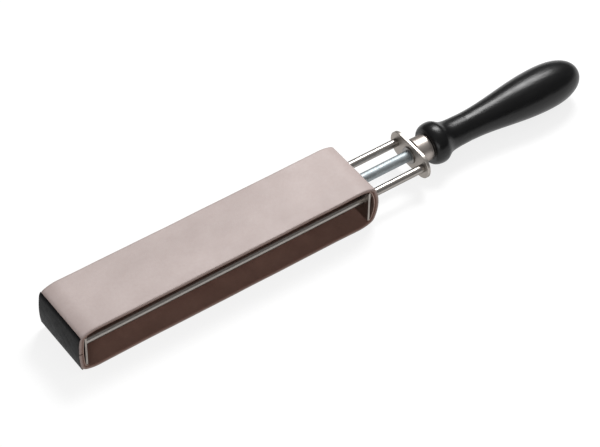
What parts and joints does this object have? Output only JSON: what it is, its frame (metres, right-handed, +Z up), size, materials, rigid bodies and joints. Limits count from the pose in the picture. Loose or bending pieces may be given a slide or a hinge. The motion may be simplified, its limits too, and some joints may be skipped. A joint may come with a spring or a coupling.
{
  "type": "leather strop",
  "caption": "Closed leather belt stretched flat over two steel shoes on guide rods, tightened by a screw spindle turned with a wooden handle.",
  "frame": {"origin": "under the middle of the whole tool, on the surface that the belt lies on", "axes": "+X along the tool towards the tip of the handle, +Y to the rear across the belt, +Z up through the belt"},
  "size_m": [0.4414, 0.05, 0.038],
  "materials": {
    "belt_leather": "smooth matte grain side",
    "patch_leather": "dyed, satin",
    "plain_steel": "cold-rolled strip, cut edges bright",
    "zinc_steel": "blue zinc plate",
    "nickel_plate": "polished nickel",
    "spring_steel": "dark oiled",
    "lacquered_wood": "black lacquer, semi-gloss"
  },
  "bodies": {
    "frame": {"leather_belt": "belt_leather", "end_patch": "patch_leather", "far_web_plate": "plain_steel", "far_bow": "plain_steel", "guide_rod_front": "nickel_plate", "guide_rod_rear": "nickel_plate", "crossplate": "nickel_plate"},
    "handle": {"threaded_spindle": "zinc_steel", "retaining_ring": "spring_steel", "thrust_washer": "spring_steel", "ferrule": "nickel_plate", "handle_grip": "lacquered_wood"},
    "sliding_shoe": {"near_web_plate": "plain_steel", "near_bow": "plain_steel", "spindle_nut": "zinc_steel"}
  },
  "joints": [
    {"name": "handle_turn", "type": "hinge", "parent": "frame", "child": "handle", "pos_m": [0.06882, 0, 0.019], "axis": [1, 0, 0], "range_deg": [0, 2880]},
    {"name": "shoe_slide", "type": "slide", "parent": "frame", "child": "sliding_shoe", "axis": [1, 0, 0], "range_m": [-0.01, 0]}
  ],
  "couplings": [
    {"joint": "shoe_slide", "follows": "handle_turn", "m_per_rad": -0.00019894}
  ]
}
